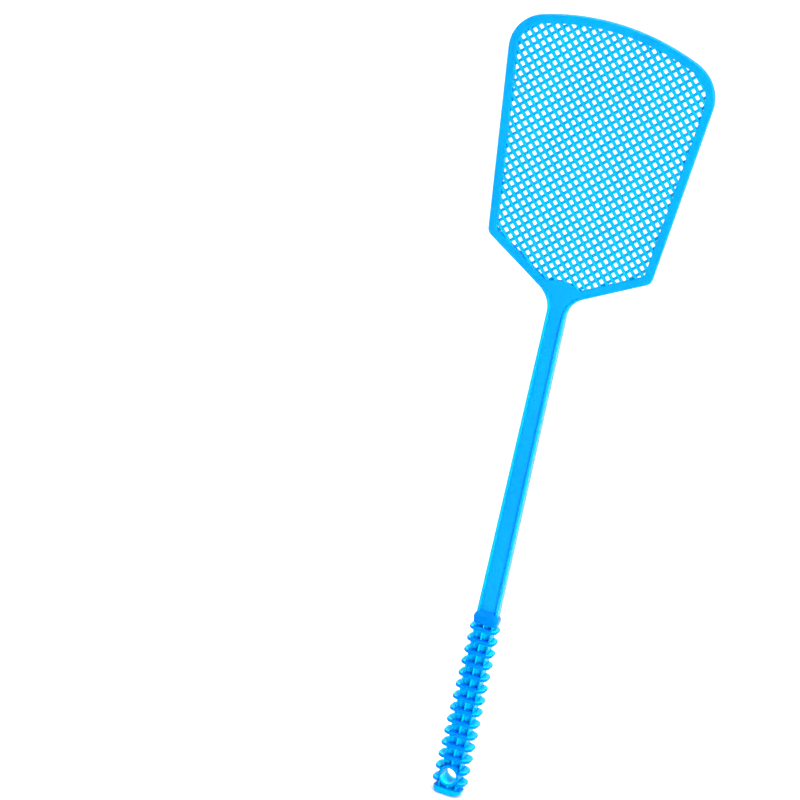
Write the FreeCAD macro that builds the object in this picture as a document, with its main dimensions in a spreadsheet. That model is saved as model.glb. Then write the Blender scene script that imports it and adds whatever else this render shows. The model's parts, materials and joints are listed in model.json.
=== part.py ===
import FreeCAD, Part
import math
import os
import Sketcher

# Hand fly swatter, moulded in one piece, drawn here as one solid for each of its features.
# Frame: +Z along the length towards the blade, +X across the blade, -Y the front face.
# Heights are counted from the end of the handle. The origin is the middle of the grip.

V = FreeCAD.Vector
doc = FreeCAD.newDocument("fly_swatter")

DIMENSIONS = {
    # blade outline; tilts are in degrees
    "crown_height": 457.2,
    "crown_radius": 134.5,
    "low_corner_height": 320.8,
    "low_corner_half": 48.2,
    "side_tilt": 6.36,
    "lower_tilt": 30.3,
    "top_corner_radius": 22.0,
    "low_corner_radius": 5.0,
    "neck_radius": 15.0,
    # rim and the opening that it frames
    "rim_width": 5.0,
    "rim_thickness": 3.2,
    "inner_corner_radius": 3.0,
    "root_half": 10.0,
    "root_arc_radius": 26.0,
    # lattice of crossed bars
    "lattice_middle": 378.0,
    "lattice_pitch": 4.16,
    "bar_width": 1.75,
    "bar_thickness": 1.3,
    "bar_length": 200.0,
    # neck, where the raised edges of the shaft run out into the rim
    "neck_height": 270.0,
    "neck_half": 5.5,
    "neck_zone_half": 22.0,
    "neck_zone_top": 315.0,
    "fade_start": 281.0,
    "fade_end": 309.0,
    # shaft
    "web_thickness": 2.2,
    "flange_width": 1.65,
    "flange_depth": 5.6,
    "shaft_foot_half": 6.25,
    # collar between shaft and grip
    "collar_top": 109.8,
    "collar_neck_height": 109.0,
    "collar_shoulder_height": 106.4,
    "collar_waist_height": 104.8,
    "collar_bottom": 103.6,
    "collar_half": 7.35,
    "collar_foot_half": 6.9,
    "collar_depth": 8.4,
    "collar_rounding": 2.0,
    # spine of the grip
    "rail_inner": 4.5,
    "rail_width": 0.9,
    "rail_depth": 7.8,
    "rib_width": 0.8,
    # finger fins
    "first_fin_height": 99.6,
    "fin_pitch": 7.06,
    "fin_thickness": 1.8,
    "first_fin_width": 16.2,
    "last_fin_width": 19.2,
    "first_fin_depth": 12.4,
    "last_fin_depth": 13.2,
    "fin_corner_share": 0.34,
    # hanging eye and end cap
    "eye_height": 11.6,
    "eye_bore_radius": 4.5,
    "eye_boss_radius": 6.0,
    "eye_boss_length": 12.6,
    "cap_width": 16.4,
    "cap_depth": 12.8,
    "cap_side_height": 1.9,
    "cap_top_height": 3.6,
    "cap_corner_radius": 4.6,
    # height of the origin
    "grip_middle": 53.6,
}
FIN_COUNT = 14
BARS_EACH_WAY = 22
CLEAR = "10"

NODES = []


def make_sheet():
    sheet = doc.addObject("Spreadsheet::Sheet", "Dims")
    for row, (alias, number) in enumerate(DIMENSIONS.items(), start=1):
        sheet.set(f"A{row}", alias.replace("_", " "))
        sheet.set(f"B{row}", str(number))
        sheet.setAlias(f"B{row}", alias)
    doc.recompute()
    return sheet


sheet = make_sheet()


def value(expression):
    return float(sheet.evalExpression(expression))


def as_node(obj, label):
    """Name a finished sub-part and move it from heights to the frame of the origin."""
    obj.Label = label
    obj.setExpression(".Placement.Base.z", "-Dims.grip_middle")
    NODES.append(obj)
    return obj


# ---- sketches, bodies and booleans ----

def mirrored(right_side):
    """Close an outline whose right side is given from its foot to its top."""
    return right_side + [(f"-({across})", up) for across, up in reversed(right_side)]


def arc_between(start, end, radius, outward):
    """Arc from start to end of an outline that runs anticlockwise."""
    if not outward:
        start, end = end, start
    chord = end - start
    half = chord.Length / 2
    to_left = V(-chord.y, chord.x, 0).normalize()
    centre = start + chord * 0.5 + to_left * math.sqrt(radius**2 - half**2)
    first = math.atan2(start.y - centre.y, start.x - centre.x)
    last = math.atan2(end.y - centre.y, end.x - centre.x)
    return Part.ArcOfCircle(Part.Circle(centre, V(0, 0, 1), radius), first, last)


def add_outline(body, plane, corners, arcs):
    """Sketch a closed outline with every corner and every arc bound to the sheet."""
    sketch = body.newObject("Sketcher::SketchObject", body.Name + "_sketch")
    support = [f for f in body.Origin.OriginFeatures if f.Role == plane][0]
    sketch.AttachmentSupport = (support, [""])
    sketch.MapMode = "FlatFace"
    points = [V(value(across), value(up), 0) for across, up in corners]
    ends = []
    for k, start in enumerate(points):
        end = points[(k + 1) % len(points)]
        if k in arcs:
            radius, outward = arcs[k]
            sketch.addGeometry(arc_between(start, end, value(radius), outward))
            ends.append((1, 2) if outward else (2, 1))
        else:
            sketch.addGeometry(Part.LineSegment(start, end))
            ends.append((1, 2))
    for k, (across, up) in enumerate(corners):
        before = (k - 1) % len(corners)
        sketch.addConstraint(Sketcher.Constraint("Coincident", before, ends[before][1], k, ends[k][0]))
        for kind, expression in (("DistanceX", across), ("DistanceY", up)):
            place = Sketcher.Constraint(kind, -1, 1, k, ends[k][0], value(expression))
            sketch.setExpression(f"Constraints[{sketch.addConstraint(place)}]", expression)
    for k, (radius, _) in arcs.items():
        size = sketch.addConstraint(Sketcher.Constraint("Radius", k, value(radius)))
        sketch.setExpression(f"Constraints[{size}]", radius)
    return sketch


def padded(name, corners, depth, plane="XZ_Plane", arcs=None):
    """Body with one pad, half of it on each side of its sketch."""
    body = doc.addObject("PartDesign::Body", name)
    sketch = add_outline(body, plane, corners, arcs or {})
    pad = body.newObject("PartDesign::Pad", name + "_pad")
    pad.Profile = sketch
    pad.SideType = "Symmetric"
    pad.setExpression("Length", depth)
    sketch.Visibility = False
    doc.recompute()
    return body


def rounded(body, radius, chosen):
    """Round the edges of the body's last feature that the test chosen accepts."""
    base = body.Tip
    edges = [f"Edge{k}" for k, edge in enumerate(base.Shape.Edges, start=1) if chosen(edge)]
    fillet = body.newObject("PartDesign::Fillet", f"{body.Name}_round_{len(body.Group)}")
    fillet.Base = (base, edges)
    fillet.setExpression("Radius", radius)
    doc.recompute()
    return body


def at_corner(corner):
    """Test for the edges across the pad at one corner of a mirrored outline."""
    across, up = value(corner[0]), value(corner[1])

    def chosen(edge):
        middle = edge.CenterOfMass
        return abs(abs(middle.x) - across) < 0.01 and abs(middle.z - up) < 0.01

    return chosen


def upright(edge):
    """Test for the edges that run along Z."""
    low, high = edge.BoundBox.ZMin, edge.BoundBox.ZMax
    return high - low > 0.1 and abs(edge.Length - (high - low)) < 0.001


def box(name, low, high):
    """Box between two corners given as expressions."""
    obj = doc.addObject("Part::Box", name)
    for side, axis, start, end in zip(("Length", "Width", "Height"), "xyz", low, high):
        obj.setExpression(side, f"({end}) - ({start})")
        obj.setExpression(f".Placement.Base.{axis}", start)
    return obj


def cylinder_through(name, radius, length):
    """Cylinder along Y on the axis of the hanging eye."""
    obj = doc.addObject("Part::Cylinder", name)
    obj.setExpression("Radius", radius)
    obj.setExpression("Height", length)
    obj.Placement.Rotation = FreeCAD.Rotation(V(1, 0, 0), -90)
    obj.setExpression(".Placement.Base.y", f"-({length}) / 2")
    obj.setExpression(".Placement.Base.z", "Dims.eye_height")
    return obj


def cut(name, base, tool):
    obj = doc.addObject("Part::Cut", name)
    obj.Base = base
    obj.Tool = tool
    return obj


def common(name, *shapes):
    obj = doc.addObject("Part::MultiCommon", name)
    obj.Shapes = list(shapes)
    return obj


def together(name, shapes):
    obj = doc.addObject("Part::Compound", name)
    obj.Links = list(shapes)
    return obj


# ---- outline of the blade, as expressions ----

def low_corner(inset="0"):
    """Where a side meets a lower edge, both moved in by the inset."""
    spread = "cos(Dims.side_tilt + Dims.lower_tilt)"
    inward = "(cos(Dims.lower_tilt) - sin(Dims.side_tilt))"
    upward = "(cos(Dims.side_tilt) - sin(Dims.lower_tilt))"
    return (
        f"(Dims.low_corner_half - {inset} * {inward} / {spread})",
        f"(Dims.low_corner_height + {inset} * {upward} / {spread})",
    )


def top_corner(inset="0"):
    """Where a side meets the crown, both moved in by the inset."""
    across, up = low_corner(inset)
    radius = f"(Dims.crown_radius - {inset})"
    rise = f"({up} - Dims.crown_height + Dims.crown_radius)"
    along = f"({across} * sin(Dims.side_tilt) + {rise} * cos(Dims.side_tilt))"
    run = f"(sqrt({along}^2 - {across}^2 - {rise}^2 + {radius}^2) - {along})"
    return f"({across} + {run} * sin(Dims.side_tilt))", f"({up} + {run} * cos(Dims.side_tilt))"


def on_lower_edge(across, inset="0"):
    """Point of the lower edge, moved in by the inset, at a distance from the middle."""
    drop = f"(Dims.low_corner_half - {across}) * tan(Dims.lower_tilt)"
    return across, f"(Dims.low_corner_height - {drop} + {inset} / cos(Dims.lower_tilt))"


CORE_HALF = "(Dims.neck_half - Dims.flange_width)"


def make_silhouette():
    """The whole blade and neck as one plate, as deep as the raised edges."""
    neck = on_lower_edge("Dims.neck_half")
    right_side = [("Dims.neck_half", "Dims.neck_height"), neck, low_corner(), top_corner()]
    crown = {len(right_side) - 1: ("Dims.crown_radius", True)}
    body = padded("silhouette", mirrored(right_side), "Dims.flange_depth", arcs=crown)
    rounded(body, "Dims.neck_radius", at_corner(neck))
    rounded(body, "Dims.low_corner_radius", at_corner(low_corner()))
    return rounded(body, "Dims.top_corner_radius", at_corner(top_corner()))


def make_opening():
    """The space inside the rim, which the lattice fills."""
    width = "Dims.rim_width"
    root = on_lower_edge("Dims.root_half", width)
    right_side = [root, low_corner(width), top_corner(width)]
    arcs = {
        len(right_side) - 1: ("Dims.crown_radius - Dims.rim_width", True),
        2 * len(right_side) - 1: ("Dims.root_arc_radius", False),
    }
    body = padded("opening", mirrored(right_side), "Dims.flange_depth + 2", arcs=arcs)
    rounded(body, "Dims.inner_corner_radius", at_corner(low_corner(width)))
    return rounded(body, "Dims.top_corner_radius - Dims.rim_width", at_corner(top_corner(width)))


def make_core():
    """The part of the neck that lies between the raised edges."""
    neck = on_lower_edge(CORE_HALF, "Dims.flange_width")
    outer = on_lower_edge("(Dims.neck_zone_half + 5)", "Dims.flange_width")
    top = (outer[0], "Dims.neck_zone_top + 10")
    right_side = [(CORE_HALF, "Dims.neck_height - 1"), neck, outer, top]
    body = padded("neck_core", mirrored(right_side), "Dims.flange_depth + 2")
    return rounded(body, "Dims.neck_radius + Dims.flange_width", at_corner(neck))


def make_fade():
    """Side profile that thins the raised edges down to the rim."""
    deep = "Dims.flange_depth / 2"
    thin = "Dims.rim_thickness / 2"
    right_side = [
        (deep, "Dims.neck_height - 1"),
        (deep, "Dims.fade_start"),
        (thin, "Dims.fade_end"),
        (thin, "Dims.neck_zone_top + 5"),
    ]
    return padded("fade_profile", mirrored(right_side), "2 * Dims.neck_zone_half + 2", "YZ_Plane")


def neck_zone(name, left, right, depth):
    low = (left, f"-({depth}) / 2", "Dims.neck_height - 1")
    high = (right, f"({depth}) / 2", "Dims.neck_zone_top")
    return box(name, low, high)


def make_bars(name, lean, back):
    """Parallel bars at 45 degrees. lean is 1 for bars that fall to the right, else -1."""
    bars = []
    for number in range(-BARS_EACH_WAY, BARS_EACH_WAY + 1):
        bar = doc.addObject("Part::Box", f"{name}_{number + BARS_EACH_WAY}")
        bar.setExpression("Length", "Dims.bar_length")
        bar.setExpression("Width", "Dims.bar_thickness")
        bar.setExpression("Height", "Dims.bar_width")
        bar.Placement.Rotation = FreeCAD.Rotation(V(0, 1, 0), lean * 45)
        step = f"({number} * Dims.lattice_pitch - Dims.bar_width / 2) * sin(45)"
        reach = "Dims.bar_length / 2 * sin(45)"
        bar.setExpression(".Placement.Base.x", f"{lean} * {step} - {reach}")
        bar.setExpression(".Placement.Base.y", "0" if back else "-Dims.bar_thickness")
        bar.setExpression(".Placement.Base.z", f"Dims.lattice_middle + {step} + {lean} * {reach}")
        bars.append(bar)
    return together(name, bars)


def make_blade():
    silhouette = make_silhouette()
    opening = make_opening()
    core = make_core()
    fade = make_fade()
    whole_zone = neck_zone("neck_zone", "-Dims.neck_zone_half", "Dims.neck_zone_half", CLEAR)

    slab = box(
        "rim_slab",
        ("-Dims.crown_radius", "-Dims.rim_thickness / 2", "Dims.neck_height"),
        ("Dims.crown_radius", "Dims.rim_thickness / 2", "Dims.crown_height + 1"),
    )
    ring = cut("rim_ring", common("rim_plate", silhouette, slab), opening)
    as_node(cut("blade_rim", ring, whole_zone), "blade_rim")

    as_node(common("lattice_front", make_bars("front_bars", 1, False), opening), "lattice_front")
    as_node(common("lattice_rear", make_bars("rear_bars", -1, True), opening), "lattice_rear")

    web_zone = neck_zone(
        "web_zone", "-Dims.neck_zone_half", "Dims.neck_zone_half", "Dims.web_thickness"
    )
    web = cut("neck_web", common("neck_plate", silhouette, core, web_zone), opening)
    as_node(web, "neck_web")

    for side, left, right in (("left", "-Dims.neck_zone_half", "0"), ("right", "0", "Dims.neck_zone_half")):
        zone = neck_zone(f"flare_zone_{side}", left, right, CLEAR)
        strip = common(f"flare_strip_{side}", silhouette, zone, fade)
        as_node(cut(f"neck_flare_{side}", strip, core), f"neck_flare_{side}")


# ---- shaft, collar and grip ----

def make_shaft():
    foot_inner = "(Dims.shaft_foot_half - Dims.flange_width)"
    web = mirrored([(foot_inner, "Dims.collar_top"), (CORE_HALF, "Dims.neck_height")])
    as_node(padded("shaft_web", web, "Dims.web_thickness"), "shaft_web")
    right = [
        (foot_inner, "Dims.collar_top"),
        ("Dims.shaft_foot_half", "Dims.collar_top"),
        ("Dims.neck_half", "Dims.neck_height"),
        (CORE_HALF, "Dims.neck_height"),
    ]
    left = [(f"-({across})", up) for across, up in reversed(right)]
    as_node(padded("shaft_flange_right", right, "Dims.flange_depth"), "shaft_flange_right")
    as_node(padded("shaft_flange_left", left, "Dims.flange_depth"), "shaft_flange_left")


def make_collar():
    shoulder = ("Dims.collar_half", "Dims.collar_shoulder_height")
    right_side = [
        ("Dims.collar_foot_half", "Dims.collar_bottom"),
        ("Dims.collar_half", "Dims.collar_waist_height"),
        shoulder,
        ("Dims.shaft_foot_half", "Dims.collar_neck_height"),
        ("Dims.shaft_foot_half", "Dims.collar_top"),
    ]
    body = padded("grip_collar", mirrored(right_side), "Dims.collar_depth")
    as_node(rounded(body, "Dims.collar_rounding", at_corner(shoulder)), "grip_collar")


def make_spine():
    """Web, rails and ribs of the grip. Returns what the fins are cut around."""
    eye_space = cylinder_through("eye_space", "Dims.eye_boss_radius", "3 * Dims.eye_boss_length")
    low, high = "Dims.cap_top_height", "Dims.collar_bottom"
    web_face = "Dims.web_thickness / 2"
    rail_face = "Dims.rail_depth / 2"
    rail_outer = "(Dims.rail_inner + Dims.rail_width)"
    rib_half = "Dims.rib_width / 2"
    corners = {
        "grip_web": (("-Dims.rail_inner", f"-{web_face}", low), ("Dims.rail_inner", web_face, high)),
        "grip_rail_left": ((f"-{rail_outer}", f"-{rail_face}", low), ("-Dims.rail_inner", rail_face, high)),
        "grip_rail_right": (("Dims.rail_inner", f"-{rail_face}", low), (rail_outer, rail_face, high)),
        "grip_rib_front": (
            (f"-{rib_half}", f"-{rail_face}", "Dims.eye_height"),
            (rib_half, f"-{web_face}", high),
        ),
        "grip_rib_rear": ((f"-{rib_half}", web_face, "Dims.eye_height"), (rib_half, rail_face, high)),
    }
    blanks = [eye_space]
    for name, (start, end) in corners.items():
        blank = box(name + "_blank", start, end)
        blanks.append(blank)
        as_node(cut(name, blank, eye_space), name)
    return together("spine_space", blanks)


def make_fins(spine_space):
    for number in range(FIN_COUNT):
        share = f"{number} / {FIN_COUNT - 1}"
        width = f"(Dims.first_fin_width + (Dims.last_fin_width - Dims.first_fin_width) * {share})"
        depth = f"(Dims.first_fin_depth + (Dims.last_fin_depth - Dims.first_fin_depth) * {share})"
        name = f"grip_fin_{number + 1:02d}"
        plan = mirrored([(f"{width} / 2", f"-{depth} / 2"), (f"{width} / 2", f"{depth} / 2")])
        disc = padded(name + "_disc", plan, "Dims.fin_thickness", "XY_Plane")
        rounded(disc, f"Dims.fin_corner_share * {depth}", upright)
        disc.setExpression(".Placement.Base.z", f"Dims.first_fin_height - {number} * Dims.fin_pitch")
        as_node(cut(name, disc, spine_space), name)


def make_eye():
    boss = cylinder_through("eye_boss", "Dims.eye_boss_radius", "Dims.eye_boss_length")
    bore = cylinder_through("eye_bore", "Dims.eye_bore_radius", "3 * Dims.eye_boss_length")
    as_node(cut("hang_boss", boss, bore), "hang_boss")


def make_cap():
    half = "Dims.cap_width / 2"
    right_side = [(half, "Dims.cap_side_height"), (half, "Dims.cap_top_height")]
    radius = f"(({half})^2 + Dims.cap_side_height^2) / (2 * Dims.cap_side_height)"
    arcs = {2 * len(right_side) - 1: (radius, True)}
    body = padded("end_cap", mirrored(right_side), "Dims.cap_depth", arcs=arcs)
    as_node(rounded(body, "Dims.cap_corner_radius", upright), "end_cap")


def write_nodes():
    """Check every object, then write one STEP file for each node."""
    doc.recompute()
    for obj in doc.Objects:
        if "Invalid" in obj.State or "Error" in obj.State:
            raise RuntimeError(f"{obj.Label} failed: {obj.State}")
    for node in NODES:
        if node.Shape.isNull() or not node.Shape.isValid() or not node.Shape.Solids:
            raise RuntimeError(f"{node.Label} has no valid solid")
    os.makedirs("parts", exist_ok=True)
    for node in NODES:
        node.Shape.exportStep(f"parts/{node.Label}.step")
        size = node.Shape.BoundBox
        print(
            f"{node.Label}: {len(node.Shape.Solids)} solids, {node.Shape.Volume:.1f} mm3,"
            f" x {size.XMin:.2f} {size.XMax:.2f}, y {size.YMin:.2f} {size.YMax:.2f},"
            f" z {size.ZMin:.2f} {size.ZMax:.2f}"
        )


make_blade()
make_shaft()
make_collar()
make_fins(make_spine())
make_eye()
make_cap()
write_nodes()
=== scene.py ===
"""Hand fly swatter, moulded in one piece from translucent blue plastic.

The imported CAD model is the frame. Every visible piece is rebuilt here as a rounded mesh that
stands for the CAD nodes it replaces. Lengths are in millimetres and heights are counted from the
end of the handle, as in the CAD source, until place() turns them into metres of the row frame.
"""

import json
import math

import bmesh
import bpy
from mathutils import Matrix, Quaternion, Vector


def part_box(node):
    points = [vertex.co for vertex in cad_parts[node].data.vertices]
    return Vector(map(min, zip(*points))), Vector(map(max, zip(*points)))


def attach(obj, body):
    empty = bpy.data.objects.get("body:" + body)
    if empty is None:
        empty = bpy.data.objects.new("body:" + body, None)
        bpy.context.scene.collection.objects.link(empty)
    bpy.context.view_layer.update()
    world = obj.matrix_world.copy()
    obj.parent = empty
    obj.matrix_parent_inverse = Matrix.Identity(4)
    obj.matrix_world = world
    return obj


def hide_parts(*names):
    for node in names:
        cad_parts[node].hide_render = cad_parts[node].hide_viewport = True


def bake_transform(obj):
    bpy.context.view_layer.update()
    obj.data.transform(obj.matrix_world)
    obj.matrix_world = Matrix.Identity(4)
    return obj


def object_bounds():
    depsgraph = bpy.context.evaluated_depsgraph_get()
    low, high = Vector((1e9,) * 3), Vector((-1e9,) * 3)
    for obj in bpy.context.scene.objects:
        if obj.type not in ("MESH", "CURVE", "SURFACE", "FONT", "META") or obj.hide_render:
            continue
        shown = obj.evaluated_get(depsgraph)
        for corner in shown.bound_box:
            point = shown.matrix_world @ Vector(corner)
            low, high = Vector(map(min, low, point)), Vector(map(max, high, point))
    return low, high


MM = 0.001

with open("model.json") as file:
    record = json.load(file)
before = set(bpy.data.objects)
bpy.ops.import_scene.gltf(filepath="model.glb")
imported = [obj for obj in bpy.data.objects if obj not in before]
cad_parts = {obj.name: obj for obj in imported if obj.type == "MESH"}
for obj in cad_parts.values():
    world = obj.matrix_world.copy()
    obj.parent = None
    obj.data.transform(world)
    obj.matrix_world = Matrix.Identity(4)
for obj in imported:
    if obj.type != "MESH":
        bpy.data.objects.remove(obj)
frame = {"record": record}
cad_low, cad_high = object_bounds()
FOOT = cad_low.z


def span(node):
    """Lowest and highest corner of a CAD node in mm, with heights from the handle's end."""
    low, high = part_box(node)
    lift = Vector((0, 0, FOOT))
    return (low - lift) / MM, (high - lift) / MM


# ---- driving sizes, in mm, read from the frame where a node's box gives them ----
# A LEVEL is half of a thickness. A SINK is how far a piece runs on inside its neighbour.

RIM_HIGH = span("blade_rim")[1]
FLANGE_LOW, FLANGE_HIGH = span("shaft_flange_right")
HANG_HOLE = next(mount for mount in frame["record"]["mounts"] if mount["name"] == "hang_hole")

CROWN_HEIGHT = RIM_HIGH.z
CROWN_RADIUS = 134.5
LOW_CORNER = Vector((48.2, 320.8))
SIDE_TILT = math.radians(6.36)
LOWER_TILT = math.radians(30.3)
TOP_CORNER_RADIUS = 22.0
LOW_CORNER_RADIUS = 5.0
INNER_CORNER_RADIUS = 3.0
NECK_RADIUS = 15.0
NECK_HALF = 5.5
RIM_WIDTH = 5.0
RIM_LEVEL = RIM_HIGH.y

SHAFT_FOOT = FLANGE_LOW.z
SHAFT_FOOT_HALF = FLANGE_HIGH.x
SHAFT_SINK = 3.0
NECK_HEIGHT = FLANGE_HIGH.z
EDGE_LEVEL = FLANGE_HIGH.y
EDGE_WIDTH = 1.65
WEB_LEVEL = span("shaft_web")[1].y
# the shaft's edges sink to the rim's level between these heights
FADE_START, FADE_END = 281.0, 309.0
# the plate between the edges thickens from the web's to the rim's level between these heights
RAMP_START, RAMP_END = 279.0, 303.0
# the middle of the opening's lower end stands this far above its corners
ROOT_RISE = 2.1

OUTER_ROUNDING = 0.75
RIDGE_ROUNDING = 0.55
RIDGE_FILLET = 0.5
OPENING_ROUNDING = 0.6
# how far in from the shaft's side its edge is modelled, before the plate between the edges
SHAFT_REACH = EDGE_WIDTH + RIDGE_FILLET + OPENING_ROUNDING + 0.4

LATTICE_MIDDLE = 378.0
LATTICE_PITCH = 4.16
BAR_WIDTH = 1.75
BAR_LEVEL = -span("lattice_front")[0].y
BAR_ROUNDING = 0.4
BARS_EACH_WAY = 22
LAYER_OVERLAP = 0.08
BAR_SINK = 1.2
BAR_STEP = 4.0

# the eye interrupts the last two fins, whose lobes start a gap away from its bore
FIN_COUNT = 14
FIN_CORNER_SHARE = 0.34
FIN_ROUNDING = 0.45
SPLIT_FINS = (13, 14)
LOBE_GAP = 0.8
LOBE_INNER_RADIUS = 0.5
SPINE_SINK = 0.8
SPINE_ROUNDING = 0.25

# up from the collar's foot: widest at the waist, narrower from the shoulder, sloped in front
COLLAR_SINK = 1.0
COLLAR_RISE = 0.4
COLLAR_WAIST = 1.0
COLLAR_FOOT_INSET = 0.45
COLLAR_SHOULDER = 2.0
COLLAR_NECK_DROP = 0.5
COLLAR_NECK_INSET = 0.1
COLLAR_SLOPE_START = 3.6
COLLAR_CORNER_RADIUS = 2.4

CAP_SIDE_HEIGHT = 1.9
CAP_CORNER_RADIUS = 4.6
CAP_ROUNDING = 0.7

# the drop is how far the eye lies below the frame's origin
EYE_RADIUS = HANG_HOLE["dims"]["r_mm"]
EYE_DROP = -HANG_HOLE["pos_m"][2] / MM
EYE_ROUNDING = 0.25

SMALLEST_RADIUS = 0.02

# how many steps each stretch takes
ARC_STEPS = 4
LOWER_EDGE_STEPS = 14
LOW_CORNER_STEPS = 10
SIDE_STEPS = 26
TOP_CORNER_STEPS = 16
CROWN_STEPS = 22
SHAFT_STEPS = 36
NECK_STEPS = 5
NECK_ARC_STEPS = 16
ROW_STEPS = 24
COLLAR_STEPS = 24
EYE_STEPS = 72


def place(across, deep, height):
    """A point of the row frame in metres, from mm and a height above the handle's end."""
    return Vector((across * MM, deep * MM, FOOT + height * MM))


def smooth_step(x, start, end):
    """0 before start, 1 after end, and a smooth rise between them."""
    t = min(1.0, max(0.0, (x - start) / (end - start)))
    return t * t * (3 - 2 * t)


# ---- mesh helpers ----


def skin(mesh, first, second):
    """Join two rows of vertices with faces, leaving out vertices that both rows share."""
    for a, b, c, d in zip(first, first[1:], second[1:], second):
        corners = list(dict.fromkeys((a, b, c, d)))
        if len(corners) > 2:
            mesh.faces.new(corners)


def skin_ring(mesh, first, second):
    """Join two closed rings of vertices with faces."""
    skin(mesh, first + first[:1], second + second[:1])


def close_across(mesh, ring):
    """Close a ring whose vertex i mirrors vertex n-1-i with a strip of quads."""
    half = len(ring) // 2
    skin(mesh, ring[:half], ring[::-1][:half])


def skin_rings(mesh, rings):
    """Join rings, one after another, into a closed solid."""
    for first, second in zip(rings, rings[1:]):
        skin_ring(mesh, first, second)
    close_across(mesh, rings[0])
    close_across(mesh, rings[-1])


def add_piece(name, mesh, replaced, body=None, plastic=None):
    """Turn a finished bmesh into a shaded piece that stands for CAD nodes.

    The piece rides on its body. Without one, its placement is baked into its mesh.
    """
    bmesh.ops.recalc_face_normals(mesh, faces=mesh.faces)
    data = bpy.data.meshes.new(name)
    mesh.to_mesh(data)
    mesh.free()
    data.polygons.foreach_set("use_smooth", [True] * len(data.polygons))
    data.materials.append(plastic or PLASTIC)
    piece = bpy.data.objects.new(name, data)
    bpy.context.scene.collection.objects.link(piece)
    normals = piece.modifiers.new("even_normals", "WEIGHTED_NORMAL")
    normals.weight = 80
    if body:
        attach(piece, body)
    else:
        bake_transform(piece)
    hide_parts(*replaced)
    return piece


def quarter(steps=ARC_STEPS):
    """Sines and cosines of a quarter turn."""
    turns = [math.pi / 2 * k / steps for k in range(steps + 1)]
    return [(math.sin(t), math.cos(t)) for t in turns]


# ---- outline of the blade: right half, as (across, height) points ----


def unit(angle):
    """Flat vector of length 1 at this angle from +X."""
    return Vector((math.cos(angle), math.sin(angle)))


LOWER_INWARD = unit(LOWER_TILT + math.pi / 2)
SIDE_INWARD = unit(math.pi - SIDE_TILT)
CROWN_CENTRE = Vector((0, CROWN_HEIGHT - CROWN_RADIUS))


def inside_low_corner(distance):
    """The point that lies this far inside both the lower edge and the side."""
    spread = LOWER_INWARD.x * SIDE_INWARD.y - LOWER_INWARD.y * SIDE_INWARD.x
    across = distance * (SIDE_INWARD.y - LOWER_INWARD.y) / spread
    up = distance * (LOWER_INWARD.x - SIDE_INWARD.x) / spread
    return LOW_CORNER + Vector((across, up))


def top_corner_centre():
    """Centre of the rounding between the side and the crown."""
    along_side = unit(math.pi / 2 - SIDE_TILT)
    start = LOW_CORNER + SIDE_INWARD * TOP_CORNER_RADIUS - CROWN_CENTRE
    inner = CROWN_RADIUS - TOP_CORNER_RADIUS
    half = start.dot(along_side)
    run = math.sqrt(half**2 - start.length_squared + inner**2) - half
    return CROWN_CENTRE + start + along_side * run


def arc(centre, radius, start, end, steps):
    """Points of an arc from one angle to another."""
    return [centre + unit(start + (end - start) * k / steps) * radius for k in range(steps + 1)]


def line(start, end, steps):
    """Points of a straight stretch."""
    return [start.lerp(end, k / steps) for k in range(steps + 1)]


NECK_ARC_CENTRE = Vector((NECK_HALF + NECK_RADIUS, 0))
NECK_ARC_CENTRE.y = LOW_CORNER.y + (
    -NECK_RADIUS - (NECK_ARC_CENTRE.x - LOW_CORNER.x) * LOWER_INWARD.x
) / LOWER_INWARD.y
NECK_ARC_END = NECK_ARC_CENTRE + LOWER_INWARD * NECK_RADIUS


def half_outline(inset, corner_radius):
    """The blade's edge, or the opening's, from the neck to the middle of the crown."""
    corner = inside_low_corner(inset + corner_radius)
    top = top_corner_centre()
    top_radius = TOP_CORNER_RADIUS - inset
    crown_turn = math.atan2(top.y - CROWN_CENTRE.y, top.x - CROWN_CENTRE.x)
    start = NECK_ARC_END + LOWER_INWARD * inset
    stretches = [
        line(start, corner - LOWER_INWARD * corner_radius, LOWER_EDGE_STEPS),
        arc(corner, corner_radius, LOWER_TILT - math.pi / 2, -SIDE_TILT, LOW_CORNER_STEPS),
        line(corner - SIDE_INWARD * corner_radius, top - SIDE_INWARD * top_radius, SIDE_STEPS),
        arc(top, top_radius, -SIDE_TILT, crown_turn, TOP_CORNER_STEPS),
        arc(CROWN_CENTRE, CROWN_RADIUS - inset, crown_turn, math.pi / 2, CROWN_STEPS),
    ]
    points = [stretches[0][0]]
    for stretch in stretches:
        points += stretch[1:]
    return points


def web_stations():
    """(edge point, inward direction, reach) up the shaft and round the neck's arc."""
    stations = []
    foot = Vector((SHAFT_FOOT_HALF, SHAFT_FOOT - SHAFT_SINK))
    neck = Vector((NECK_HALF, NECK_HEIGHT))
    arc_start = Vector((NECK_HALF, NECK_ARC_CENTRE.y))
    for point in line(foot, neck, SHAFT_STEPS) + line(neck, arc_start, NECK_STEPS)[1:-1]:
        stations.append((point, Vector((-1, 0)), SHAFT_REACH))
    turn = math.pi / 2 - LOWER_TILT
    for k in range(NECK_ARC_STEPS + 1):
        inward = unit(math.pi - turn * k / NECK_ARC_STEPS)
        reach = SHAFT_REACH + (RIM_WIDTH - SHAFT_REACH) * smooth_step(k, 0, NECK_ARC_STEPS)
        stations.append((NECK_ARC_CENTRE + inward * NECK_RADIUS, inward, reach))
    return stations


def ring_stations():
    """(edge point, inward direction, reach) round the rim, after the neck's last station."""
    edge = half_outline(0, LOW_CORNER_RADIUS)
    opening = half_outline(RIM_WIDTH, INNER_CORNER_RADIUS)
    found = []
    for outer, inner in zip(edge[1:], opening[1:]):
        step = inner - outer
        found.append((outer, step.normalized(), step.length))
    return found


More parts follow.
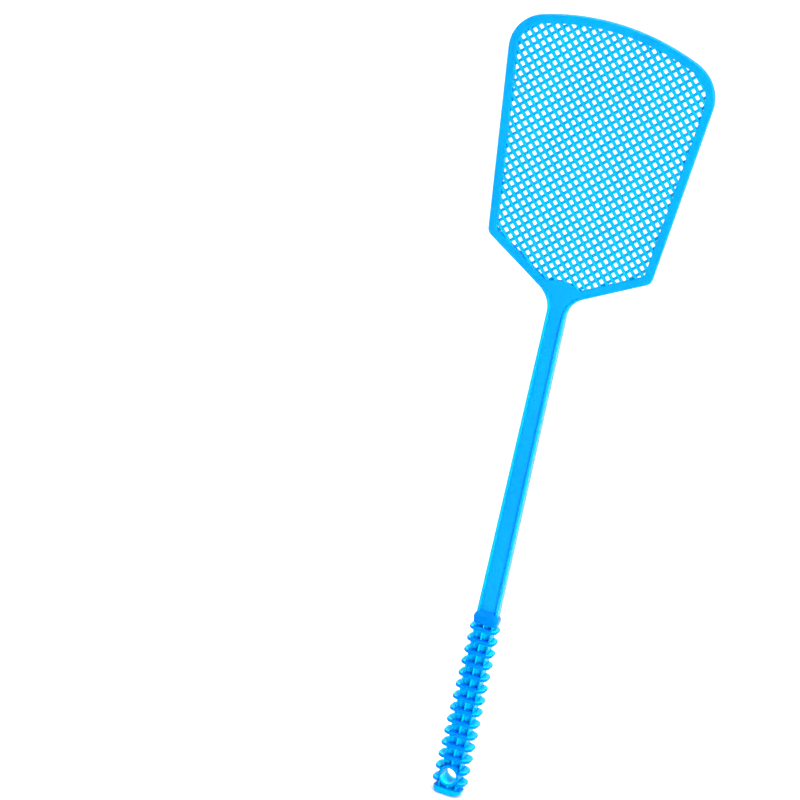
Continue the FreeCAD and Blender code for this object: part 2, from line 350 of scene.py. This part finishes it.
def edge_section(station):
    """Half section of the moulding's edge, from the outer wall to the plate, as (inset, level)."""
    point, _, reach = station
    fade = smooth_step(point.y, FADE_START, FADE_END)
    top = EDGE_LEVEL + (RIM_LEVEL - EDGE_LEVEL) * fade
    plate = plate_level(point.y)
    soft = min(1.0, (top - plate) / (RIDGE_ROUNDING + RIDGE_FILLET))
    section = [(0, 0)]
    for sine, cosine in quarter():
        section.append((OUTER_ROUNDING * (1 - cosine), top - OUTER_ROUNDING * (1 - sine)))
    for sine, cosine in quarter():
        section.append((
            EDGE_WIDTH - RIDGE_ROUNDING * (1 - sine),
            top - RIDGE_ROUNDING * soft * (1 - cosine),
        ))
    for sine, cosine in quarter():
        section.append((
            EDGE_WIDTH + RIDGE_FILLET * (1 - cosine),
            plate + RIDGE_FILLET * soft * (1 - sine),
        ))
    section.append((reach - OPENING_ROUNDING, plate))
    return section


def plate_level(height):
    """Half thickness of the plate between the raised edges."""
    return WEB_LEVEL + (RIM_LEVEL - WEB_LEVEL) * smooth_step(height, RAMP_START, RAMP_END)


def opening_section():
    """Rounded edge of the opening, from the plate to the middle of its wall, as (step, level)."""
    section = []
    for sine, cosine in quarter()[1:]:
        section.append((
            OPENING_ROUNDING * (sine - 1),
            RIM_LEVEL - OPENING_ROUNDING * (1 - cosine),
        ))
    return section + [(0, 0)]


def vertex_pair(mesh, x, level, height):
    """The same point on the front and on the rear, one vertex where they meet."""
    front = mesh.verts.new(place(x, -level, height))
    rear = mesh.verts.new(place(x, level, height)) if level else front
    return front, rear


def skin_pairs(mesh, first, second):
    """Join two rows of vertex pairs, on the front and on the rear."""
    for face in (0, 1):
        skin(mesh, [pair[face] for pair in first], [pair[face] for pair in second])


def edge_column(mesh, station, side, wall):
    """Vertex pairs of a station's section and of the opening's wall, on side 1 or -1."""
    point, inward, reach = station
    section = edge_section(station) + [(reach + step, level) for step, level in wall]
    pairs = []
    for inset, level in section:
        spot = point + inward * inset
        pairs.append(vertex_pair(mesh, side * spot.x, level, spot.y))
    return pairs


def plate_row(mesh, right, left, rise, level):
    """Vertex pairs across the plate, from a pair of the right column to one of the left."""
    half = right[0].co.x / MM
    height = (right[0].co.z - FOOT) / MM
    row = [right]
    for k in range(1, ROW_STEPS):
        x = half * (1 - 2 * k / ROW_STEPS)
        row.append(vertex_pair(mesh, x, level, height + rise * (1 - (x / half) ** 2)))
    return row + [left]


def opening_outline(stations):
    """Closed outline of the blade's opening. stations run from the root to the crown."""
    right = [point + inward * reach for point, inward, reach in stations]
    left = [Vector((-point.x, point.y)) for point in right[:-1]]
    half = right[0].x
    root = []
    for k in range(1, ROW_STEPS):
        x = half * (2 * k / ROW_STEPS - 1)
        root.append(Vector((x, right[0].y + ROOT_RISE * (1 - (x / half) ** 2))))
    return right + left[::-1] + root


def make_frame():
    """Shaft, neck and rim as one continuous moulding. Returns the outline of its opening."""
    mesh = bmesh.new()
    webs = web_stations()
    stations = webs + ring_stations()
    root, last = len(webs) - 1, len(stations) - 1
    edge_count = len(edge_section(stations[0]))
    wall = opening_section()

    def column(number, side):
        return edge_column(mesh, stations[number], side, wall if number >= root else [])

    right = [column(number, 1) for number in range(last + 1)]
    left = [column(number, -1) for number in range(last)] + [right[last]]
    for columns in (right, left):
        for number in range(last):
            count = edge_count if number < root else None
            skin_pairs(mesh, columns[number][:count], columns[number + 1][:count])

    rows = []
    plate = edge_count - 1
    for number in range(root + 1):
        rise = ROOT_RISE * smooth_step(number, root - NECK_ARC_STEPS, root)
        level = plate_level(stations[number][0].y)
        rows.append(plate_row(mesh, right[number][plate], left[number][plate], rise, level))
    for index, (_, level) in enumerate(wall, start=edge_count):
        rows.append(plate_row(mesh, right[root][index], left[root][index], ROOT_RISE, level))
    for first, second in zip(rows, rows[1:]):
        skin_pairs(mesh, first, second)

    foot = right[0][:edge_count] + rows[0][1:-1] + left[0][plate::-1]
    skin(mesh, [pair[0] for pair in foot], [pair[1] for pair in foot])
    replaced = ["blade_rim", "neck_web", "neck_flare_left", "neck_flare_right"]
    replaced += ["shaft_web", "shaft_flange_left", "shaft_flange_right"]
    add_piece("frame_moulding", mesh, replaced)
    return opening_outline(stations[root:])


# ---- lattice of crossed bars ----


def crossings(origin, along, outline):
    """Distances at which a line crosses a closed outline, from low to high."""
    found = []
    across = Vector((-along.y, along.x))
    for start, end in zip(outline, outline[1:] + outline[:1]):
        before, after = (start - origin).dot(across), (end - origin).dot(across)
        if (before > 0) != (after > 0):
            crossing = start.lerp(end, before / (before - after))
            found.append((crossing - origin).dot(along))
    return sorted(found)


def bar_section(face):
    """Section of a bar as (across, deep) points. face is -1 in front and 1 at the rear."""
    half = BAR_WIDTH / 2
    flank = [(half, -LAYER_OVERLAP)]
    for sine, cosine in quarter(2):
        flank.append((half - BAR_ROUNDING * (1 - cosine), BAR_LEVEL - BAR_ROUNDING * (1 - sine)))
    section = flank + [(-across, deep) for across, deep in flank[::-1]]
    return [(across, face * deep) for across, deep in section]


def add_bar(mesh, origin, along, low, high, section):
    """Bar between two distances along a line."""
    across = Vector((-along.y, along.x))
    count = max(1, round((high - low) / BAR_STEP))
    rings = []
    for k in range(count + 1):
        middle = origin + along * (low + (high - low) * k / count)
        ring = []
        for offset, deep in section:
            spot = middle + across * offset
            ring.append(mesh.verts.new(place(spot.x, deep, spot.y)))
        rings.append(ring)
    skin_rings(mesh, rings)


def make_lattice(name, node, opening, lean, face):
    """Parallel bars at 45 degrees. lean is 1 for bars that fall to the right, else -1."""
    mesh = bmesh.new()
    along = unit(-lean * math.pi / 4)
    section = bar_section(face)
    for number in range(-BARS_EACH_WAY, BARS_EACH_WAY + 1):
        step = number * LATTICE_PITCH * math.sin(math.pi / 4)
        origin = Vector((lean * step, LATTICE_MIDDLE + step))
        ends = crossings(origin, along, opening)
        for low, high in zip(ends[::2], ends[1::2]):
            add_bar(mesh, origin, along, low - BAR_SINK, high + BAR_SINK, section)
    add_piece(name, mesh, [node], plastic=LATTICE_LIGHT_AND_SHADE_PLASTIC)


# ---- grip ----


def plan(low, high, radii, inset=0.0):
    """Rounded rectangle seen from above. radii are those of its +X and of its -X corners."""
    x_high, x_low = high[0] - inset, low[0] + inset
    y_high, y_low = high[1] - inset, low[1] + inset
    right, left = (max(radius - inset, SMALLEST_RADIUS) for radius in radii)
    corners = [
        (x_high - right, y_high - right, right, 0),
        (x_low + left, y_high - left, left, 1),
        (x_low + left, y_low + left, left, 2),
        (x_high - right, y_low + right, right, 3),
    ]
    steps = 2 * ARC_STEPS
    points = []
    for x, y, radius, turn in corners:
        for k in range(steps + 1):
            angle = math.pi / 2 * (turn + k / steps)
            points.append((x + radius * math.cos(angle), y + radius * math.sin(angle)))
    return points


def add_block(mesh, low, high, radii, rounding, bend=None):
    """Upright block on a rounded plan, with rounded edges. bend moves the heights by (x, height)."""
    levels = []
    for sine, cosine in quarter():
        levels.append((rounding * (1 - sine), low[2] + rounding * (1 - cosine)))
    for sine, cosine in quarter()[::-1]:
        levels.append((rounding * (1 - sine), high[2] - rounding * (1 - cosine)))
    rings = []
    for inset, height in levels:
        ring = []
        for x, y in plan(low, high, radii, inset):
            shift = bend(x, height) if bend else 0
            ring.append(mesh.verts.new(place(x, y, height + shift)))
        rings.append(ring)
    skin_rings(mesh, rings)


def make_fin(number):
    """Finger fin. A fin that the eye interrupts is two lobes."""
    node = f"grip_fin_{number:02d}"
    low, high = span(node)
    corner = FIN_CORNER_SHARE * (high.y - low.y)
    mesh = bmesh.new()
    if number in SPLIT_FINS:
        inner = EYE_RADIUS + LOBE_GAP
        for side in (1, -1):
            start, end = sorted((side * inner, side * high.x))
            radii = (corner, LOBE_INNER_RADIUS) if side > 0 else (LOBE_INNER_RADIUS, corner)
            add_block(mesh, (start, low.y, low.z), (end, high.y, high.z), radii, FIN_ROUNDING)
    else:
        add_block(mesh, low, high, (corner, corner), FIN_ROUNDING)
    add_piece(f"finger_fin_{number:02d}", mesh, [node], "handle", FIN_SHADE_AND_TOP_LIGHT_PLASTIC)


def make_spine():
    """Web, rails and ribs that the fins stand on. The eye interrupts the web and the ribs."""
    boss_low, boss_high = span("hang_boss")
    cap_top = span("end_cap")[1].z
    rounding = SPINE_ROUNDING
    for side in ("left", "right"):
        mesh = bmesh.new()
        low, high = span(f"grip_rail_{side}")
        top = (high.x, high.y, high.z + SPINE_SINK)
        add_block(mesh, (low.x, low.y, cap_top - SPINE_SINK), top, (rounding, rounding), rounding)
        add_piece(f"spine_rail_{side}", mesh, [f"grip_rail_{side}"], "handle", RAIL_PAINTED_LIGHT_PLASTIC)

    widths = {"web": SPINE_SINK / 2, "rib_front": 0, "rib_rear": 0}
    for part, wider in widths.items():
        mesh = bmesh.new()
        low, high = span(f"grip_{part}")
        for start, end in ((cap_top, boss_low.z), (boss_high.z, high.z)):
            add_block(
                mesh,
                (low.x - wider, low.y, start - SPINE_SINK),
                (high.x + wider, high.y, end + SPINE_SINK),
                (rounding, rounding),
                rounding,
            )
        add_piece(f"spine_{part}", mesh, [f"grip_{part}"], "handle", THIN_PAINTED_GLOW_PLASTIC)


def make_eye():
    """Tube through the grip that the swatter hangs from."""
    low, high = span("hang_boss")
    outer = (high.x - low.x) / 2
    half_length = high.y
    middle = (low.z + high.z) / 2
    rounding = EYE_ROUNDING
    section = []
    for sine, cosine in quarter():
        section.append((outer - rounding * (1 - sine), half_length - rounding * (1 - cosine)))
    section += [(radius, -deep) for radius, deep in section[::-1]]
    bore = []
    for sine, cosine in quarter():
        bore.append((EYE_RADIUS + rounding * (1 - sine), half_length - rounding * (1 - cosine)))
    section += [(radius, -deep) for radius, deep in bore] + bore[::-1]
    mesh = bmesh.new()
    rings = []
    for k in range(EYE_STEPS):
        direction = unit(2 * math.pi * k / EYE_STEPS)
        rings.append([
            mesh.verts.new(place(radius * direction.x, deep, middle + radius * direction.y))
            for radius, deep in section
        ])
    for first, second in zip(rings, rings[1:] + rings[:1]):
        skin_ring(mesh, first, second)
    add_piece("eye_tube", mesh, ["hang_boss"], "handle", EYE_TOP_LIGHT_PLASTIC)


def make_cap():
    """End cap, a thicker plate than a fin, with a bottom that is round from side to side."""
    low, high = span("end_cap")

    def bend(x, height):
        share = (high.z - height) / (high.z - low.z)
        return CAP_SIDE_HEIGHT * share * (x / high.x) ** 2

    mesh = bmesh.new()
    add_block(mesh, low, high, (CAP_CORNER_RADIUS, CAP_CORNER_RADIUS), CAP_ROUNDING, bend)
    add_piece("heel_cap", mesh, ["end_cap"], "handle", RAIL_PAINTED_LIGHT_PLASTIC)


def make_collar():
    """Collar that flares out of the shaft, with a slope in front that ends the channel."""
    low, high = span("grip_collar")
    mesh = bmesh.new()
    rings = []
    start, end = low.z - COLLAR_SINK, high.z + COLLAR_RISE
    for k in range(COLLAR_STEPS + 1):
        height = start + (end - start) * k / COLLAR_STEPS
        foot_in = COLLAR_FOOT_INSET * (1 - smooth_step(height, low.z, low.z + COLLAR_WAIST))
        neck = smooth_step(height, low.z + COLLAR_SHOULDER, high.z - COLLAR_NECK_DROP)
        half = high.x - foot_in - (high.x - SHAFT_FOOT_HALF + COLLAR_NECK_INSET) * neck
        slope = smooth_step(height, low.z + COLLAR_SLOPE_START, end)
        deep = high.y + (WEB_LEVEL - COLLAR_NECK_INSET - high.y) * slope
        corner = min(deep - COLLAR_NECK_INSET, COLLAR_CORNER_RADIUS)
        ring = [
            mesh.verts.new(place(x, y, height))
            for x, y in plan((-half, -deep), (half, deep), (corner, corner))
        ]
        rings.append(ring)
    skin_rings(mesh, rings)
    # the fins' copy of the plastic, with painted shade and painted light on the faces that look up
    add_piece("grip_shoulder", mesh, ["grip_collar"], "handle", FIN_SHADE_AND_TOP_LIGHT_PLASTIC)


# ---- material, and copies of it with painted light and shade ----

# long pale marks from the flow into the mould, uneven gloss, and a fine grain
FLOW_MARK_SCALE, FLOW_MARK_STRETCH = 45, (1, 1, 0.25)
SKIN_SCALE = 160
ROUGHNESS_LOW, ROUGHNESS_HIGH = 0.24, 0.33
GRAIN_SCALE, GRAIN_HEIGHT = 1400, 0.05
# how softly the painted light on up-facing faces fades in, by slope and by distance in mm
SLOPE_FADE = 0.12
DISTANCE_FADE = 0.3


class Shading:
    """A new material, with short ways to add nodes to it."""

    def __init__(self, name):
        self.material = bpy.data.materials.new(name)
        self.material.use_nodes = True
        self.nodes = self.material.node_tree.nodes
        self.links = self.material.node_tree.links
        self.shader = self.nodes["Principled BSDF"]
        self.where = self.nodes.new("ShaderNodeTexCoord")

    def noise(self, scale, detail, stretch=(1, 1, 1)):
        """Noise over the piece's own coordinates."""
        mapping = self.nodes.new("ShaderNodeMapping")
        mapping.inputs["Scale"].default_value = stretch
        texture = self.nodes.new("ShaderNodeTexNoise")
        texture.inputs["Scale"].default_value = scale
        texture.inputs["Detail"].default_value = detail
        self.links.new(self.where.outputs["Object"], mapping.inputs["Vector"])
        self.links.new(mapping.outputs["Vector"], texture.inputs["Vector"])
        return texture.outputs["Fac"]

    def ramp(self, source, low=0.0, high=1.0, start=0.3, end=0.7):
        """low where source is at start or less, high where it is at end or more."""
        between = self.nodes.new("ShaderNodeMapRange")
        between.inputs["From Min"].default_value = start
        between.inputs["From Max"].default_value = end
        between.inputs["To Min"].default_value = low
        between.inputs["To Max"].default_value = high
        self.links.new(source, between.inputs["Value"])
        return between.outputs["Result"]

    def mix(self, factor, first, second):
        """Colour between first and second, each a colour or another node's output."""
        colours = self.nodes.new("ShaderNodeMix")
        colours.data_type = "RGBA"
        self.links.new(factor, colours.inputs["Factor"])
        for socket, colour in (("A", first), ("B", second)):
            if isinstance(colour, tuple):
                colours.inputs[socket].default_value = (*colour, 1)
            else:
                self.links.new(colour, colours.inputs[socket])
        return colours.outputs["Result"]

    def along_axis(self, coordinate, axis):
        """One axis of the object's coordinates or of its normals."""
        split = self.nodes.new("ShaderNodeSeparateXYZ")
        self.links.new(self.where.outputs[coordinate], split.inputs["Vector"])
        return split.outputs[axis]

    def calculate(self, operation, *sources):
        """Result of a Math node on these sources."""
        node = self.nodes.new("ShaderNodeMath")
        node.operation = operation
        for socket, source in zip(node.inputs, sources):
            self.links.new(source, socket)
        return node.outputs["Value"]

    def distance(self, axis, start, end):
        """0 to 1 as the distance from the frame's origin along an axis grows, in mm."""
        size = self.calculate("ABSOLUTE", self.along_axis("Object", axis))
        return self.ramp(size, start=start * MM, end=end * MM)


def make_plastic(name, dark, light, scatter, gloss=0.5, painted_top_light=None, edge_highlight=None):
    """Slightly translucent moulded plastic with faint flow marks, a fine skin and, where given,
    painted light.

    dark and light are the colours between which the flow marks vary. scatter is how far light
    travels inside, in mm. gloss is the specular level. edge_highlight is a painted highlight, the
    paler colour of the shaft's raised edges. painted_top_light is painted light from above: it gives
    the paler colour of faces that look up along the handle, the slope where it starts, and the axis
    and distance from the frame's origin beyond which it shows, in mm.
    """
    plastic = Shading(name)
    sockets = plastic.shader.inputs
    sockets["IOR"].default_value = 1.4
    sockets["Specular IOR Level"].default_value = gloss
    sockets["Specular Tint"].default_value = (0.1, 0.8, 1.0, 1.0)
    sockets["Subsurface Weight"].default_value = 1.0
    sockets["Subsurface Radius"].default_value = (0.2, 0.7, 1.0)
    sockets["Subsurface Scale"].default_value = scatter * MM

    flow_marks = plastic.ramp(plastic.noise(FLOW_MARK_SCALE, 3, FLOW_MARK_STRETCH))
    colour = plastic.mix(flow_marks, dark, light)
    # painted light from above: faces that look up, beyond the given distance along the axis, get the
    # paler colour
    if painted_top_light:
        tint, slope, axis, beyond = painted_top_light
        outside = plastic.distance(axis, beyond - DISTANCE_FADE, beyond)
        rise = plastic.along_axis("Normal", "Z")
        top_light_mask = plastic.ramp(rise, start=slope, end=slope + SLOPE_FADE)
        colour = plastic.mix(plastic.calculate("MULTIPLY", top_light_mask, outside), colour, tint)
    # painted highlight: where the shaft's edges stand out to the front and the rear, they get a
    # paler colour
    if edge_highlight:
        edges = plastic.distance("Y", (WEB_LEVEL + EDGE_LEVEL) / 2, EDGE_LEVEL - RIDGE_ROUNDING)
        colour = plastic.mix(edges, colour, edge_highlight)
    plastic.links.new(colour, sockets["Base Color"])

    roughness = plastic.ramp(plastic.noise(SKIN_SCALE, 4), ROUGHNESS_LOW, ROUGHNESS_HIGH)
    plastic.links.new(roughness, sockets["Roughness"])

    bump = plastic.nodes.new("ShaderNodeBump")
    bump.inputs["Strength"].default_value = 0.12
    bump.inputs["Distance"].default_value = GRAIN_HEIGHT * MM
    plastic.links.new(plastic.noise(GRAIN_SCALE, 2), bump.inputs["Height"])
    plastic.links.new(bump.outputs["Normal"], sockets["Normal"])
    return plastic.material


# ---- stage, light and camera ----


FLOOR_HALF = 15.0
WORLD_STRENGTH = 0.50


def make_floor():
    """Plain pale floor, level with the end of the handle."""
    material = bpy.data.materials.new("pale_floor")
    material.use_nodes = True
    shader = material.node_tree.nodes["Principled BSDF"]
    shader.inputs["Base Color"].default_value = (0.8, 0.8, 0.8, 1)
    shader.inputs["Roughness"].default_value = 0.9
    shader.inputs["Specular IOR Level"].default_value = 0.0
    mesh = bmesh.new()
    corners = [(-1, -1), (1, -1), (1, 1), (-1, 1)]
    mesh.faces.new([mesh.verts.new((x * FLOOR_HALF, y * FLOOR_HALF, FOOT)) for x, y in corners])
    data = bpy.data.meshes.new("floor")
    mesh.to_mesh(data)
    mesh.free()
    data.materials.append(material)
    floor = bpy.data.objects.new("floor", data)
    bpy.context.scene.collection.objects.link(floor)


def make_world():
    """Even white light from all round."""
    world = bpy.data.worlds.new("white_studio")
    world.use_nodes = True
    background = world.node_tree.nodes["Background"]
    background.inputs["Color"].default_value = (1, 1, 1, 1)
    background.inputs["Strength"].default_value = WORLD_STRENGTH
    bpy.context.scene.world = world
    bpy.context.scene.view_settings.view_transform = "Standard"


def add_softbox(name, spot, target, size, power):
    """Rectangular lamp of so many watts that faces its target."""
    light = bpy.data.lights.new(name, "AREA")
    light.shape = "RECTANGLE"
    light.size, light.size_y = size
    light.energy = power
    lamp = bpy.data.objects.new(name, light)
    lamp.location = spot
    lamp.rotation_euler = (Vector(target) - Vector(spot)).to_track_quat("-Z", "Y").to_euler()
    bpy.context.scene.collection.objects.link(lamp)


def make_lights():
    middle = (0, 0, 0.17)
    lower_shaft = (0, 0, 0.1)
    add_softbox("top_box", (0.0, 0.0, 3.0), target=middle, size=(4.0, 4.0), power=200)
    add_softbox("key_box", (1.4, -1.4, 0.6), target=middle, size=(0.5, 0.5), power=36)
    add_softbox("low_strip", (0.5, -0.9, 0.05), target=lower_shaft, size=(0.15, 0.5), power=1.2)


CAMERA_AZIMUTH = math.radians(16)
CAMERA_ELEVATION = math.radians(20)
CAMERA_ROLL = math.radians(12.68)
CAMERA_LENS = 600.0
PICTURE_WIDTH = 0.4374
AIM_RIGHT, AIM_UP = -0.0734, 0.0070


def make_camera():
    """Long lens, rolled so that the swatter leans as in the photograph."""
    data = bpy.data.cameras.new("camera")
    data.lens = CAMERA_LENS
    camera = bpy.data.objects.new("camera", data)
    bpy.context.scene.collection.objects.link(camera)
    bpy.context.scene.camera = camera
    back = Vector((
        math.sin(CAMERA_AZIMUTH) * math.cos(CAMERA_ELEVATION),
        -math.cos(CAMERA_AZIMUTH) * math.cos(CAMERA_ELEVATION),
        math.sin(CAMERA_ELEVATION),
    ))
    turn = (-back).to_track_quat("-Z", "Y") @ Quaternion((0, 0, 1), CAMERA_ROLL)
    camera.rotation_mode = "QUATERNION"
    camera.rotation_quaternion = turn
    right, up = turn @ Vector((1, 0, 0)), turn @ Vector((0, 1, 0))
    centre = (cad_low + cad_high) / 2
    distance = PICTURE_WIDTH / 2 / (data.sensor_width / 2 / data.lens)
    camera.location = centre + right * AIM_RIGHT + up * AIM_UP + back * distance
    data.clip_start, data.clip_end = 0.01, 50


# The frame's plastic, with a painted highlight on the shaft's raised edges. The materials after it
# are copies of the same plastic, coloured lighter or darker as painted light and shade.
PLASTIC = make_plastic(
    "blue_moulded_plastic",
    (0.0, 0.25, 0.80),
    (0.0, 0.30, 0.88),
    scatter=0.5,
    edge_highlight=(0.0, 0.37, 0.88),
)
# painted light and shade: a copy of the plastic for the bars, greener and less blue than the
# frame's, toned for how light falls on and through the thin bars
LATTICE_LIGHT_AND_SHADE_PLASTIC = make_plastic(
    "blue_lattice_plastic_painted_light_and_shade", (0.0, 0.33, 0.62), (0.0, 0.38, 0.69), scatter=0.7
)
# painted shade and painted light: darker all over for the shade on the thick front edges of the fins
# and collar, and paler on faces that look up outside the rails, for light from above
FIN_SHADE_AND_TOP_LIGHT_PLASTIC = make_plastic(
    "blue_fin_plastic_painted_shade_and_top_light",
    (0.0, 0.17, 0.70),
    (0.0, 0.20, 0.78),
    scatter=1.0,
    gloss=0.15,
    painted_top_light=((0.0, 0.64, 0.95), 0.8, "X", span("grip_rail_right")[1].x + 0.2),
)
# painted light: a paler copy of the plastic for the rails and the heel cap, lifting the rails out of
# the shade that the fins cast on them
RAIL_PAINTED_LIGHT_PLASTIC = make_plastic(
    "blue_rail_plastic_painted_light", (0.0, 0.34, 0.78), (0.0, 0.38, 0.86), scatter=1.0, gloss=0.15
)
# painted light: a much paler copy of the plastic for the web and ribs, standing for light that
# shines through the thin plastic from behind
THIN_PAINTED_GLOW_PLASTIC = make_plastic(
    "blue_thin_plastic_painted_glow", (0.0, 0.52, 0.90), (0.0, 0.58, 0.97), scatter=3.0, gloss=0.15
)
# painted light: a copy of the plastic whose bore faces that look up get a pale colour, for light
# from above
EYE_TOP_LIGHT_PLASTIC = make_plastic(
    "blue_eye_plastic_painted_top_light",
    (0.0, 0.22, 0.80),
    (0.0, 0.26, 0.88),
    scatter=1.0,
    gloss=0.1,
    painted_top_light=((0.0, 0.80, 0.97), 0.15, "Z", EYE_DROP),
)
make_world()
make_floor()
make_lights()
make_camera()

opening = make_frame()
make_lattice("front_bars", "lattice_front", opening, 1, -1)
make_lattice("rear_bars", "lattice_rear", opening, -1, 1)
make_collar()
make_spine()
for fin in range(1, FIN_COUNT + 1):
    make_fin(fin)
make_eye()
make_cap()
